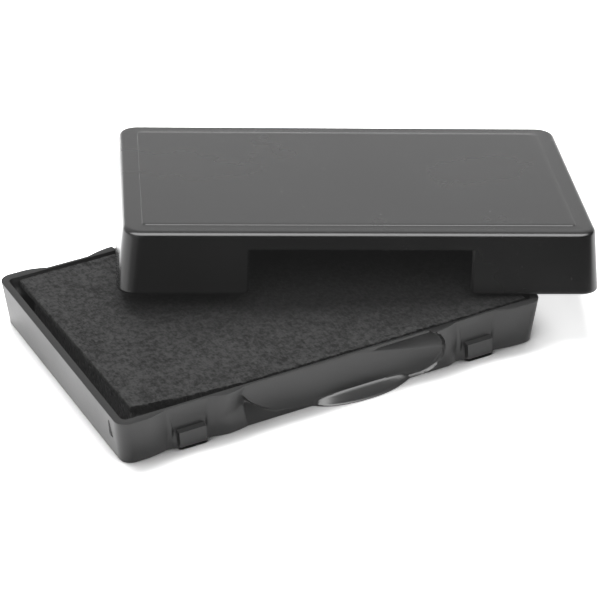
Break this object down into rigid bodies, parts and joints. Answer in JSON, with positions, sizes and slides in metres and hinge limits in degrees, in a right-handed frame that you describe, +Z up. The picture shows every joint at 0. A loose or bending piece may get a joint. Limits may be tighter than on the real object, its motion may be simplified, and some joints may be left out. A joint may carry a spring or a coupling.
{
  "type": "ink pad",
  "caption": "Rectangular ink pad cartridge for a self-inking stamp, with finger grips on its tray and a loose storage cover that lies askew across one corner.",
  "frame": {"origin": "centre of the tray's flat underside, on the surface that the pad lies on", "axes": "+X along the tray's length, +Y across it towards the side that the cover overhangs, +Z up out of the pad"},
  "size_m": [0.0851, 0.062, 0.0171],
  "materials": {
    "tray_plastic": "satin black moulded plastic",
    "reservoir_foam": "ink-soaked open-cell foam",
    "pad_felt": "fine matted felt, damp with black ink",
    "cover_plastic": "semi-gloss black moulded plastic"
  },
  "bodies": {
    "tray": {"tray": "tray_plastic", "ink_reservoir": "reservoir_foam", "pad_facing": "pad_felt"},
    "cover": {"cover": "cover_plastic"}
  },
  "joints": [
    {"name": "cover_lift", "type": "slide", "parent": "tray", "child": "cover", "axis": [0, 0, 1], "range_m": [0, 0.03]}
  ]
}
